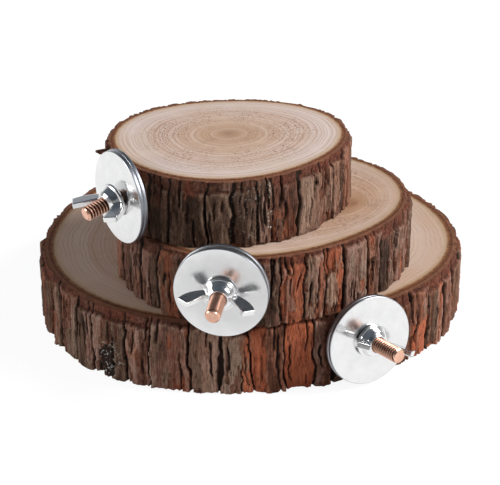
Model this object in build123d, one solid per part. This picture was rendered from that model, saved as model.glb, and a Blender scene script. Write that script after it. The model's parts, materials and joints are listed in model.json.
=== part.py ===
"""Three bird perches sawn from log, stacked the way the set is sold.

Each perch is a round log slice (wood, inner bark, furrowed outer bark) with one hanger
bolt screwed into its edge. Two broad washers and a wing nut on the bolt grip the bars
of a cage; the washers fit loosely and lean on the bolt. The medium perch rests on the
large one and the small perch on the medium.

Frame: millimetres, +Z up, origin on the floor at the middle of the large slice.
-Y is the front. A bearing is the angle from the front towards +X, in degrees.
"""

from dataclasses import dataclass
from math import cos, degrees, radians, sin, sqrt
import os

from build123d import *

# Bolt, 5 mm hanger bolt: machine thread outside, screw point in the wood
BOLT_RADIUS = 2.45
BOLT_CHAMFER = 0.6
SCREW_RADIUS = 2.1
SCREW_POINT = 5.0
BURIED_LENGTH = 26.0
SHANK_INSIDE_BARK = 8.0

# Broad washers
WASHER_RADIUS = 15.0
WASHER_HOLE_RADIUS = 2.9
WASHER_THICKNESS = 1.3
WASHER_EDGE = 0.3

# Wing nut
NUT_PLAY = 0.05
NUT_BORE_RADIUS = 2.5
NUT_FLANGE_RADIUS = 5.5
NUT_FLANGE_HEIGHT = 1.0
HUB_FOOT_RADIUS = 4.9
HUB_TOP_RADIUS = 4.1
HUB_HEIGHT = 4.3
HUB_ROUNDING = 1.0
WING_THICKNESS = 1.8
WING_ROUNDING = 0.6
WING_BELLY_REACH = 9.3
WING_BELLY_HEIGHT = 3.5
WING_REACH = 12.0
WING_TIP_HEIGHT = 8.2
WING_TOP_REACH = 8.5
WING_TOP_HEIGHT = 10.6
WING_NOTCH_HEIGHT = 3.2

# Bark: depths are shares of the bark's thickness, heights are shares of the slice's
INNER_BARK_SHARE = 0.36
FURROW_DEPTH = 0.5
FURROW_DEPTH_SPREAD = 0.25
FURROW_LEAST_WIDTH = 0.7
FURROW_WIDTH_SPREAD = 2.0
PLATE_WIDTH_SPREAD = 0.6
PLATE_CROWN = 0.07
PLATE_LEAN = 1.4
STRIP_DROP = 0.12
SUNKEN_DROP = 0.16
STRIP_SLOPE = 0.4
RIM_DEPTH = 0.3
RIM_SLOPE = 0.035
LOW_RIM, HIGH_RIM = 0.83, 0.94
MIDDLE_LEVEL = 0.45
BARK_LEVELS = (0.0, MIDDLE_LEVEL, LOW_RIM, LOW_RIM + RIM_SLOPE, HIGH_RIM, HIGH_RIM + RIM_SLOPE, 1.0)
OUTLINE_ARCS = 12
SEAT_STEP = 0.5
SCATTER_PLATE, SCATTER_SALT, SCATTER_SCALE = 12.9898, 78.233, 43758.5453


def direction(bearing, tilt):
    """Unit vector at a bearing, tilted up by an angle."""
    level = cos(radians(tilt))
    return Vector(sin(radians(bearing)) * level, -cos(radians(bearing)) * level, sin(radians(tilt)))


@dataclass
class Perch:
    """One log slice with its place in the stack, its outline and its hardware."""

    name: str
    radius: float
    thickness: float
    centre: tuple
    base: float
    bark: float
    plates: int
    oval: float
    oval_toward: float
    lobe: float
    lobe_toward: float
    washer_bearing: float
    washer_side: float
    washer_tilt: float
    washer_height: float
    bark_gap: float
    grip: float
    bolt_bearing: float
    bolt_tilt: float
    bolt_stand: float
    wing_turn: float

    def reach(self, angle, inset=0.0):
        """Distance from the slice's middle to its edge at an angle from +X in degrees."""
        oval = self.oval * cos(radians(2 * (angle - self.oval_toward)))
        lobe = self.lobe * cos(radians(3 * (angle - self.lobe_toward)))
        return self.radius + oval + lobe - inset

    def point(self, angle, distance, z):
        x, y = self.centre
        return Vector(x + distance * cos(radians(angle)), y + distance * sin(radians(angle)), z)

    def scatter(self, plate, salt):
        """A value from 0 to 1 that looks random but is the same each time, for a plate and a name."""
        start = self.plates + sum(ord(letter) * (k + 1) for k, letter in enumerate(salt))
        mixed = sin(SCATTER_PLATE * (plate % self.plates) + SCATTER_SALT * start)
        return mixed * SCATTER_SCALE % 1

    def vary(self, plate, salt, level):
        """A scattered value that changes up the slice, from the foot to the middle to the top."""
        foot, middle, top = (self.scatter(plate, salt + end) for end in ("_foot", "_middle", "_top"))
        if level < MIDDLE_LEVEL:
            return foot + (middle - foot) * level / MIDDLE_LEVEL
        return middle + (top - middle) * (level - MIDDLE_LEVEL) / (1 - MIDDLE_LEVEL)

    @property
    def top(self):
        return self.base + self.thickness

    @property
    def outward(self):
        """Direction in which the bolt points."""
        return direction(self.bolt_bearing, self.bolt_tilt)

    @property
    def facing(self):
        """Direction in which the washers face."""
        return direction(self.washer_bearing, self.washer_tilt)

    @property
    def slant(self):
        """Cosine of the angle at which the washers lean on the bolt."""
        return self.outward.dot(self.facing)

    @property
    def nut_gap(self):
        """Distance along the bolt from the outer washer's face to the foot of the nut."""
        return NUT_FLANGE_RADIUS * sqrt(1 / self.slant**2 - 1) + NUT_PLAY

    @property
    def bark_depth(self):
        """Distance from the outer washer's face back to the bark."""
        return 2 * WASHER_THICKNESS + self.grip + self.bark_gap

    def front(self):
        """Where the bolt's axis crosses the outer washer's face, with both washers clear of the bark."""
        edge = self.washer_bearing - 90
        across = direction(self.washer_bearing + 90, 0)
        start = self.point(edge, self.radius, self.washer_height) + across * self.washer_side
        half = degrees(2 * WASHER_RADIUS / self.radius)
        stand_off = []
        for step in range(int(2 * half / SEAT_STEP) + 1):
            angle = edge - half + step * SEAT_STEP
            for z in (self.base, self.top):
                offset = self.point(angle, self.reach(angle), z) - start
                along = offset.dot(self.facing)
                if (offset - self.facing * along).length <= WASHER_RADIUS:
                    stand_off.append(along)
        return start + self.facing * (max(stand_off) + self.bark_depth)

    def on_bolt(self, depth):
        """Point on the bolt's axis at a depth behind the outer washer's face."""
        return self.front() - self.outward * (depth / self.slant)

    def bolt_plane(self):
        """Plane at the outer washer's face: its normal is the bolt, its X is level."""
        return Plane(origin=self.front(), x_dir=direction(self.bolt_bearing + 90, 0), z_dir=self.outward)

    def washer_middle(self, place):
        """Middle of a washer, counted outwards from the bark: 0 is the inner one, 1 the outer one."""
        behind = (1 - place) * (WASHER_THICKNESS + self.grip)
        return self.on_bolt(WASHER_THICKNESS / 2 + behind)

    def nut_seat(self):
        return self.front() + self.outward * self.nut_gap


LARGE_THICKNESS = 25.0
MEDIUM_THICKNESS = 23.5
SMALL_THICKNESS = 22.5

PERCHES = (
    Perch(
        name="large", radius=73.4, thickness=LARGE_THICKNESS, centre=(0, 0), base=0.0,
        bark=5.6, plates=44, oval=1.0, oval_toward=20, lobe=1.6, lobe_toward=-12,
        washer_bearing=29.0, washer_side=2.8, washer_tilt=3.0, washer_height=16.3,
        bark_gap=1.7, grip=0.05, bolt_bearing=32.0, bolt_tilt=5.0, bolt_stand=15.6, wing_turn=-22,
    ),
    Perch(
        name="medium", radius=49.7, thickness=MEDIUM_THICKNESS, centre=(4.3, -22.8),
        base=LARGE_THICKNESS,
        bark=4.6, plates=34, oval=1.3, oval_toward=38, lobe=1.5, lobe_toward=12,
        washer_bearing=-11.0, washer_side=-2.0, washer_tilt=0.0, washer_height=39.3,
        bark_gap=0.3, grip=1.45, bolt_bearing=-8.5, bolt_tilt=-1.7, bolt_stand=15.3, wing_turn=-6,
    ),
    Perch(
        name="small", radius=39.8, thickness=SMALL_THICKNESS, centre=(-6.5, -25.5),
        base=LARGE_THICKNESS + MEDIUM_THICKNESS,
        bark=4.0, plates=28, oval=1.7, oval_toward=26, lobe=1.0, lobe_toward=28,
        washer_bearing=-57.0, washer_side=5.0, washer_tilt=-1.0, washer_height=61.3,
        bark_gap=0.9, grip=0.05, bolt_bearing=-50.0, bolt_tilt=-10.0, bolt_stand=12.8, wing_turn=4,
    ),
)


def smooth_ring(perch, inset):
    """Closed outline of the slice, a given distance inside its edge, as a chain of arcs."""
    step = 360 / OUTLINE_ARCS
    arcs = []
    for i in range(OUTLINE_ARCS):
        angles = (i * step, (i + 0.5) * step, (i + 1) * step)
        arcs.append(ThreePointArc(*(perch.point(a, perch.reach(a, inset), perch.base) for a in angles)))
    return Wire(arcs)


def furrow(perch, plate):
    """Half the width and the depth of the furrow on the near side of a plate."""
    wide = FURROW_LEAST_WIDTH + FURROW_WIDTH_SPREAD * perch.scatter(plate, "width") ** 3
    depth = FURROW_DEPTH * (1 - FURROW_DEPTH_SPREAD * perch.scatter(plate, "depth"))
    return wide / 2, depth * perch.bark


def furrow_angle(perch, plate, level):
    """Where the furrow before a plate runs, at a share of the height."""
    even = plate + PLATE_WIDTH_SPREAD * (perch.scatter(plate, "start") - 0.5)
    lean = PLATE_LEAN * (perch.vary(plate, "lean", level) - 0.5)
    return 360 / perch.plates * even + degrees(lean / perch.radius)


def strip_depth(perch, plate, strip, level):
    """Depth of one of a plate's two strips below the outline: a few are sunken, and the saw
    tore all of them back near the top, low down on some plates and high up on others."""
    depth = STRIP_DROP * perch.vary(plate, strip, level) + SUNKEN_DROP * perch.scatter(plate, strip) ** 6
    rim = LOW_RIM if perch.scatter(plate, "rim") < 0.5 else HIGH_RIM
    torn = min(max((level - rim) / RIM_SLOPE, 0), 1)
    return perch.bark * (depth + torn * (max(RIM_DEPTH, depth) - depth))


def plate_edges(perch, level):
    """Outline of the outer bark at a share of the height: plates of two strips between furrows."""
    z = perch.base + level * perch.thickness
    crown = PLATE_CROWN * perch.bark
    corners = []
    for plate in range(perch.plates):
        near = furrow_angle(perch, plate, level)
        far = furrow_angle(perch, plate + 1, level)
        half, depth = furrow(perch, plate)
        lip = near + degrees(half / perch.radius)
        far_lip = far - degrees(furrow(perch, plate + 1)[0] / perch.radius)
        slope = degrees(STRIP_SLOPE / perch.radius)
        split = lip + (far_lip - lip - slope) * (0.3 + 0.4 * perch.scatter(plate, "split"))
        first = strip_depth(perch, plate, "first", level)
        second = strip_depth(perch, plate, "second", level)
        for angle, inset in (
            (near, depth),
            (lip, first + crown),
            (split, first),
            (split + slope, second),
            (far_lip, second + crown),
        ):
            corners.append(perch.point(angle, perch.reach(angle, inset), z))
    return [Line(here, there) for here, there in zip(corners, corners[1:] + corners[:1])]


def make_wood(perch):
    return extrude(Face(smooth_ring(perch, perch.bark)), amount=perch.thickness, dir=(0, 0, 1))


def make_inner_bark(perch):
    outer = smooth_ring(perch, (1 - INNER_BARK_SHARE) * perch.bark)
    inner = smooth_ring(perch, perch.bark)
    return extrude(Face(outer, [inner]), amount=perch.thickness, dir=(0, 0, 1))


def make_outer_bark(perch):
    """Furrowed bark: plates of two strips, lofted up the slice over the inner bark."""
    sections = [Face(Wire(plate_edges(perch, level))) for level in BARK_LEVELS]
    body = loft(sections, ruled=True)
    core = Face(smooth_ring(perch, (1 - INNER_BARK_SHARE) * perch.bark))
    return body - extrude(core, amount=perch.thickness, dir=(0, 0, 1))


def make_bolt(perch):
    """Hanger bolt on its plane's axis, from the screw point out to the free end."""
    bark = -perch.bark_depth / perch.slant
    profile = Polyline(
        (0, bark - BURIED_LENGTH),
        (SCREW_RADIUS, bark - BURIED_LENGTH + SCREW_POINT),
        (SCREW_RADIUS, bark - SHANK_INSIDE_BARK),
        (BOLT_RADIUS, bark - SHANK_INSIDE_BARK),
        (BOLT_RADIUS, perch.bolt_stand - BOLT_CHAMFER),
        (BOLT_RADIUS - BOLT_CHAMFER, perch.bolt_stand),
        (0, perch.bolt_stand),
        close=True,
    )
    turned = revolve(Plane.XZ * make_face(profile), axis=Axis.Z)
    return perch.bolt_plane() * turned


def make_washer(perch, place):
    """Broad washer with a hole wide enough for it to lean on the bolt."""
    disc = chamfer(Cylinder(WASHER_RADIUS, WASHER_THICKNESS).edges(), WASHER_EDGE)
    hole = Cylinder(WASHER_HOLE_RADIUS, 4 * WASHER_THICKNESS)
    return Plane(origin=perch.washer_middle(place), z_dir=perch.facing) * (disc - hole)


def make_wing():
    """One wing, standing in the XZ plane on the +X side, with a rounded belly towards the washers."""
    foot = (HUB_FOOT_RADIUS, NUT_FLANGE_HEIGHT / 2)
    tip = (WING_REACH, WING_TIP_HEIGHT)
    belly = ThreePointArc(foot, (WING_BELLY_REACH, WING_BELLY_HEIGHT), tip)
    rest = Polyline(
        tip,
        (WING_TOP_REACH, WING_TOP_HEIGHT),
        (HUB_TOP_RADIUS - 0.2, WING_NOTCH_HEIGHT),
        (HUB_TOP_RADIUS - 1, WING_NOTCH_HEIGHT),
        (HUB_TOP_RADIUS - 1, NUT_FLANGE_HEIGHT / 2),
        foot,
    )
    plate = extrude(Plane.XZ * Face(Wire([belly, *rest.edges()])), amount=WING_THICKNESS / 2, both=True)
    tips = plate.edges().filter_by(Axis.Y).sort_by(Axis.Z)[-2:]
    return fillet(tips, WING_ROUNDING)


def make_wing_nut(perch):
    """Flanged hub with two square-ended wings, its flange touching the leaning outer washer."""
    profile = Polyline(
        (NUT_BORE_RADIUS, 0),
        (NUT_FLANGE_RADIUS, 0),
        (NUT_FLANGE_RADIUS, NUT_FLANGE_HEIGHT),
        (HUB_FOOT_RADIUS, NUT_FLANGE_HEIGHT),
        (HUB_TOP_RADIUS, HUB_HEIGHT - HUB_ROUNDING),
        (HUB_TOP_RADIUS - HUB_ROUNDING, HUB_HEIGHT),
        (NUT_BORE_RADIUS, HUB_HEIGHT),
        close=True,
    )
    hub = revolve(Plane.XZ * make_face(profile), axis=Axis.Z)
    wing = make_wing()
    nut = hub + wing + wing.rotate(Axis.Z, 180)
    nut -= Cylinder(NUT_BORE_RADIUS, 4 * HUB_HEIGHT)
    seated = Pos(0, 0, perch.nut_gap) * Rot(0, 0, perch.wing_turn)
    return perch.bolt_plane() * seated * nut


def make_perch(perch):
    bolt = make_bolt(perch)
    return {
        "wood": make_wood(perch) - bolt,
        "inner_bark": make_inner_bark(perch) - bolt,
        "outer_bark": make_outer_bark(perch) - bolt,
        "hanger_bolt": bolt,
        "inner_washer": make_washer(perch, 0),
        "outer_washer": make_washer(perch, 1),
        "wing_nut": make_wing_nut(perch),
    }


def main():
    os.makedirs("parts", exist_ok=True)
    for perch in PERCHES:
        for piece, shape in make_perch(perch).items():
            export_step(shape, f"parts/{perch.name}_{piece}.step")
        print(perch.name, "nut seat", perch.nut_seat(), "bolt", perch.outward, "washers", perch.facing)


main()
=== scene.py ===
"""Looks of three stacked log-slice bird perches: flaking bark, sawn wood, zinc and copper hardware.

Lengths are in millimetres unless a name says otherwise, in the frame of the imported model:
+Z up, -Y to the front, angles in degrees from +X. Blender objects are in metres.
Colours are linear red, green and blue.
"""
from dataclasses import dataclass
import json
from math import cos, pi, radians, sin

import bmesh
import bpy
from mathutils import Matrix, Vector
import numpy as np


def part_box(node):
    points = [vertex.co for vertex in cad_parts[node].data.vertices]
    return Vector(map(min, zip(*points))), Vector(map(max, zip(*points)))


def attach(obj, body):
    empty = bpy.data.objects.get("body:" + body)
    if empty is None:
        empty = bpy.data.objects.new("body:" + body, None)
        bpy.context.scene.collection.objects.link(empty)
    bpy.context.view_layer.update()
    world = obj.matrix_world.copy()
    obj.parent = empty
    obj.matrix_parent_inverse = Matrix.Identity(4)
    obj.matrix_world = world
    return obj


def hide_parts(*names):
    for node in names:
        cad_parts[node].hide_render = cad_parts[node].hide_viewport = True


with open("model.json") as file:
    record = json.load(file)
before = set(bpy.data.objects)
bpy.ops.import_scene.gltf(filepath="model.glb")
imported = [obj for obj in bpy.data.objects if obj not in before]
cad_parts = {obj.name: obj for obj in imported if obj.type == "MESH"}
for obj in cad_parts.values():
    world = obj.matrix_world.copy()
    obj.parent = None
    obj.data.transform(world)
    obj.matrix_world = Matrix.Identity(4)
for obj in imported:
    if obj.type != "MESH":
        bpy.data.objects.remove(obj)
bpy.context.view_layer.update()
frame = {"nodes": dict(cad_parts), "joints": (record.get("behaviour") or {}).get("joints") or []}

MM = 0.001

# Bolt, washers and wing nut, as in the solids
BOLT_RADIUS = 2.45
BOLT_CHAMFER = 0.6
SCREW_RADIUS = 2.1
SCREW_POINT = 5.0
BURIED_LENGTH = 26.0
SHANK_INSIDE_BARK = 8.0
WASHER_RADIUS = 15.0
WASHER_HOLE_RADIUS = 2.9
WASHER_THICKNESS = 1.3
WASHER_ROUNDING = 0.3
NUT_PLAY = 0.05
NUT_BORE_RADIUS = 2.5
NUT_FLANGE_RADIUS = 5.5
NUT_FLANGE_HEIGHT = 1.0
HUB_FOOT_RADIUS = 4.9
HUB_TOP_RADIUS = 4.1
HUB_HEIGHT = 4.3
HUB_ROUNDING = 1.0
WING_THICKNESS = 1.8
WING_BELLY = (9.3, 3.5)
WING_TIP = (12.0, 8.2)
WING_TOP = (8.5, 10.6)
WING_NOTCH_HEIGHT = 3.2

# Threads, the wings' overlap with the hub, and softened edges
THREAD_PITCH = 1.06
THREAD_DEPTH = 0.65
THREAD_CREST, THREAD_ROOT = 0.16, 0.68
# Least painted shade on the threaded shank
LEAST_ROOT_SHADE = 0.2
SCREW_PITCH = 2.2
SCREW_DEPTH = 0.55
POINT_RADIUS = 0.15
BOLT_END_ROLL = 0.06
BOLT_END_STEP = 0.05
BOLT_END_RING = 0.6
WING_ROOT_RADIUS = NUT_BORE_RADIUS + 0.6
WING_NOTCH_RADIUS = HUB_TOP_RADIUS - 0.2
NUT_VOXEL = 0.17
NUT_SOFTENING_ROUNDS = 7

# Fineness of the hardware's meshes, and angles above which their edges stay sharp
BOLT_SEGMENTS = 56
ROWS_PER_PITCH = 9
WASHER_SEGMENTS = 160
ROUNDING_STEPS = 5
NUT_SEGMENTS = 96
BELLY_STEPS = 8
BARK_SHARP, WASHER_SHARP, BOLT_SHARP = 50, 35, 60

# Bark plates, as in the solids
INNER_BARK_SHARE = 0.36
FURROW_DEPTH = 0.5
FURROW_DEPTH_SPREAD = 0.25
FURROW_LEAST_WIDTH = 0.7
FURROW_WIDTH_SPREAD = 2.0
FURROW_WIDTH_POWER = 3
PLATE_WIDTH_SPREAD = 0.6
PLATE_CROWN = 0.07
PLATE_LEAN = 1.4
STRIP_SHARE = (0.3, 0.7)
STRIP_DROP = 0.12
SUNKEN_DROP = 0.16
SUNKEN_POWER = 6
STRIP_SLOPE = 0.4
RIM_DEPTH = 0.3
RIM_SLOPE = 0.035
LOW_RIM, HIGH_RIM = 0.83, 0.94
MIDDLE_LEVEL = 0.45
SCATTER_PLATE, SCATTER_SALT, SCATTER_SCALE = 12.9898, 78.233, 43758.5453

# Bark mesh: grain, seams and the chips off its sawn edges (least, more by chance, more at furrows)
BARK_GRAIN = 0.36
LEAST_BARK = 0.35
SEAM_DEPTH = 0.1
SECTION_CUTS = np.array([0.0, 0.3, 0.6, 0.85])
CHIP_COLUMNS, SMALL_CHIP_COLUMNS = 9, 4
TOP_CHIP = (0.12, 0.45, 0.4)
BASE_CHIP = (0.1, 1.0, 0.6)

# Noises of the bark, each in layers of a strength and a size across and along
FURROW_WANDER = ((0.75, 5, 6), (0.35, 1.8, 2.6), (0.14, 0.8, 1.2))
RAGGED_RIM = ((0.6, 2.6, 4), (0.4, 1.0, 2), (0.2, 0.5, 1))
TORN_ENDS = ((0.07, 1.2, 5), (0.05, 0.5, 3))
FLAKE_LAYERS = ((0.6, 3.2, 17), (0.42, 1.3, 8), (0.22, 0.55, 2.4))
SPLIT_WANDER = ((0.3, 3, 5),)
FIBRES = ((0.6, 0.75, 8), (0.4, 0.45, 3.5))
TORN_GRAINS = ((0.22, 0.8, 0.8),)
NARROWING = ((1.0, 9, 8),)
WIDENING = ((1.0, 6, 7),)
KNOT_EDGE = ((0.3, 2.2, 3), (0.22, 1.0, 1.4))

# Flakes: how deep they go, what wears them off, and the wear between which their edges rise
FLAKE_DEPTH = 0.36
LOOSE_HEIGHT = 0.6 * FLAKE_DEPTH
WEAR_SPREAD, RED_WEAR, TAN_WEAR = 0.75, 0.9, 0.8
FLAKE_EDGE, DEEP_FLAKE_EDGE, LOOSE_EDGE = (0.22, 0.3), (0.66, 0.74), (0.36, 0.42)
PATCH_FADE = 0.03

# Short splits: ranges of their place on the plate, lower end, length, width and strength
SPLIT_PLACE, SPLIT_FOOT, SPLIT_LENGTH = (0.15, 0.85), (-0.2, 0.7), (0.25, 0.75)
SPLIT_WIDTH, SPLIT_STRENGTH = (0.2, 0.5), (0.5, 1.0)
SPLIT_DEPTH = 0.9
SPLIT_FADE = 0.1
SPLIT_LIP = 0.15
# Painted shade in the splits
SPLIT_DARKNESS = 0.8

# Furrows and fibres
MORE_FURROW = 0.15
FIBRE_DEPTH = 0.1
FURROW_LEAST_DEPTH = 0.3
FURROW_FIBRE_DEPTH = 0.3
FURROW_FLOOR_SHARE = 0.1
NARROWING_SHARE = WIDENING_SHARE = 0.5


@dataclass
class Patch:
    """Stretch of bark round an angle, between two shares of the height, half as wide as given."""

    angle: float
    half_width: float
    low: float = -0.1
    high: float = 1.1
    strength: float = 1.0


@dataclass
class Mark:
    """Knot hole (or, with a negative depth, a spur) in the bark, with pale lichen on it or not."""

    angle: float
    level: float
    half_width: float
    half_height: float
    depth: float
    lichen: float = 0.0


@dataclass
class Slice:
    """One perch: its outline, bark, wood and hardware."""

    name: str
    radius: float
    centre: tuple
    bark: float
    plates: int
    oval: float
    oval_toward: float
    lobe: float
    lobe_toward: float
    bolt_stand: float
    bark_depth: float
    wing_turn: float
    pith: tuple
    rings: int
    ring_strength: float
    warmth: float
    seed: int
    shade: float
    rim_shade: float
    red: tuple
    tan: tuple
    # grey: greyer, less flaky and darker bark; the darkening is painted shade on the small's front and the
    # medium's left
    grey: tuple
    lichen: tuple
    marks: tuple

    @property
    def base(self):
        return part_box(f"{self.name}_wood")[0].z / MM

    @property
    def top(self):
        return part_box(f"{self.name}_wood")[1].z / MM

    def reach(self, angle):
        """Distance from the slice's middle to its edge."""
        oval = self.oval * np.cos(np.radians(2 * (angle - self.oval_toward)))
        lobe = self.lobe * np.cos(np.radians(3 * (angle - self.lobe_toward)))
        return self.radius + oval + lobe

    def joint(self, ending):
        return next(j for j in frame["joints"] if j["name"] == f"{self.name}_{ending}")

    def nut_place(self):
        """Matrix whose Z is the bolt, with its origin at the foot of the nut."""
        spin = self.joint("wing_nut_spin")
        return stand_on(spin["axis"], spin["pos_m"])

    def washer_place(self, which):
        """Matrix whose Z is the way the washers face, with its origin in the middle of one."""
        low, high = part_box(f"{self.name}_{which}")
        return stand_on(self.joint("inner_washer_spin")["axis"], (low + high) / 2)

    def bolt_span(self):
        """Heights of the bark and of the bolt's free end above the foot of the nut, along the bolt."""
        slant = Vector(self.joint("wing_nut_spin")["axis"]).dot(self.joint("inner_washer_spin")["axis"])
        nut_gap = NUT_FLANGE_RADIUS * (1 / slant**2 - 1) ** 0.5 + NUT_PLAY
        return -self.bark_depth / slant - nut_gap, self.bolt_stand - nut_gap


SLICES = (
    Slice(
        name="large", radius=73.4, centre=(0, 0), bark=5.6, plates=44, oval=1.0, oval_toward=20,
        lobe=1.6, lobe_toward=-12, bolt_stand=15.6, bark_depth=4.35, wing_turn=-22,
        pith=(-0.06, -0.12), rings=44, ring_strength=0.45, warmth=0.8, seed=11, shade=0.9, rim_shade=0.78,
        red=(
            Patch(-76.5, 4.6), Patch(-88.5, 3.6, strength=0.8), Patch(-37, 6, -0.1, 0.5, 0.8),
            Patch(-20, 12, strength=0.35), Patch(-108, 2, strength=0.5), Patch(-150, 3, 0.1, 0.8, 0.4),
        ),
        tan=(Patch(-103, 4.5, 0.0, 0.95, 0.5), Patch(-148, 3, 0.0, 0.9, 0.45)),
        grey=(Patch(-113, 9, strength=0.4), Patch(-140, 12, strength=0.3)),
        lichen=(),
        marks=(Mark(-127.5, 0.2, 4.4, 7.6, 0.9, 0.8),),
    ),
    Slice(
        name="medium", radius=49.7, centre=(4.3, -22.8), bark=4.6, plates=34, oval=1.3,
        oval_toward=38, lobe=1.5, lobe_toward=12, bolt_stand=15.3, bark_depth=4.35, wing_turn=-6,
        pith=(0.69, -0.13), rings=26, ring_strength=0.9, warmth=0.7, seed=23, shade=0.73, rim_shade=0.75,
        red=(
            Patch(-59, 5, strength=0.85), Patch(-77, 3.4, strength=0.75), Patch(-43, 2, 0.2, 1.1, 0.6),
            Patch(-20, 4, -0.1, 0.5, 0.6), Patch(-125, 3, strength=0.4), Patch(-68, 9, strength=0.35),
        ),
        tan=(Patch(-61.5, 1.8, 0.1, 0.62), Patch(-69.5, 1.6, 0.0, 0.95, 0.7)),
        # Grey patch on the left: greyer bark darkened as painted shade
        grey=(Patch(-138, 18, strength=0.6),),
        lichen=(),
        marks=(),
    ),
    Slice(
        name="small", radius=39.8, centre=(-6.5, -25.5), bark=4.0, plates=28, oval=1.7,
        oval_toward=26, lobe=1.0, lobe_toward=28, bolt_stand=12.8, bark_depth=3.55, wing_turn=4,
        pith=(0.007, 0.08), rings=26, ring_strength=1.0, warmth=0.0, seed=37, shade=0.72, rim_shade=0.8,
        red=(Patch(-61, 2.5, 0.0, 0.5, 0.3), Patch(-104, 4, 0.72, 1.1, 0.35), Patch(-125, 4, 0.5, 1.1, 0.3)),
        tan=(Patch(-44, 3.4, 0.0, 0.9, 0.5), Patch(-27, 4, 0.1, 0.95, 0.45)),
        # Grey patches on the front: greyer bark darkened as painted shade
        grey=(Patch(-101, 20), Patch(-140, 10, strength=0.5), Patch(-60, 8, 0.2, 1.1, 0.4)),
        lichen=(
            Patch(-69.2, 1.0, 0.05, 0.95), Patch(-76.5, 2.0, 0.6, 0.95, 0.5), Patch(-82, 7, 0.05, 0.95, 0.16),
        ),
        marks=(Mark(-40, 0.72, 0.8, 1.1, 1.0), Mark(-169, 0.92, 1.1, 1.0, -3.6)),
    ),
)


def stand_on(axis, origin):
    """Matrix from millimetres to metres, with its Z along an axis and its X level."""
    axis = Vector(axis).normalized()
    level = Vector((-axis.y, axis.x, 0)).normalized()
    columns = Matrix((level, axis.cross(level), axis)).transposed()
    return Matrix.Translation(origin) @ columns.to_4x4() @ Matrix.Scale(MM, 4)


def scatter(piece, salt):
    """A value from 0 to 1 for each plate of a slice, as in the solids, other ones for each word."""
    start = piece.plates + sum(ord(letter) * (k + 1) for k, letter in enumerate(salt))
    mixed = np.sin(SCATTER_PLATE * np.arange(piece.plates) + SCATTER_SALT * start)
    return mixed * SCATTER_SCALE % 1


def vary(piece, salt, level):
    """Scattered values that change up the slice: a row for each level, a column for each plate."""
    ends = [scatter(piece, salt + end) for end in ("_foot", "_middle", "_top")]
    columns = [np.interp(level, (0, MIDDLE_LEVEL, 1), values) for values in zip(*ends)]
    return np.array(columns).T


def smooth_step(value, low, high):
    share = np.clip((value - low) / (high - low), 0, 1)
    return share * share * (3 - 2 * share)


def between(value, low, high, fade):
    """1 between two limits and 0 outside them, with a smooth fade inside each."""
    return smooth_step(value, low, low + fade) * (1 - smooth_step(value, high - fade, high))


def lattice_noise(rng, around, up, u, v):
    """Smooth noise from -1 to 1 over a band that closes on itself in u."""
    grid = rng.uniform(-1, 1, (around, up + 2))
    x, y = (u % 1) * around, np.clip(v, 0, 1) * up
    i, j = np.floor(x).astype(int), np.floor(y).astype(int)
    across, along = smooth_step(x - i, 0, 1), smooth_step(y - j, 0, 1)
    i, far = i % around, (i + 1) % around
    low = grid[i, j] * (1 - across) + grid[far, j] * across
    high = grid[i, j + 1] * (1 - across) + grid[far, j + 1] * across
    return low * (1 - along) + high * along


def furrow_angles(piece, level):
    """Angle of each furrow at each share of the height, with the first one again at the end."""
    even = np.arange(piece.plates) + PLATE_WIDTH_SPREAD * (scatter(piece, "start") - 0.5)
    lean = PLATE_LEAN * (vary(piece, "lean", level) - 0.5)
    starts = 360 / piece.plates * even + np.degrees(lean / piece.radius)
    return np.hstack([starts, starts[:, :1] + 360])


def arc_from(piece, angle, other):
    """Distance round the slice from one angle to another, with its sign."""
    return np.radians((angle - other + 180) % 360 - 180) * piece.radius


def blurred(grid, reach):
    """Mean of a grid over squares of cells; the grid closes on itself in its columns."""
    ends = np.pad(grid, ((0, 0), (reach, reach)), mode="edge")
    up = sum(ends[:, k:k + grid.shape[1]] for k in range(2 * reach + 1))
    return sum(np.roll(up, k, axis=0) for k in range(-reach, reach + 1)) / (2 * reach + 1) ** 2


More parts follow.
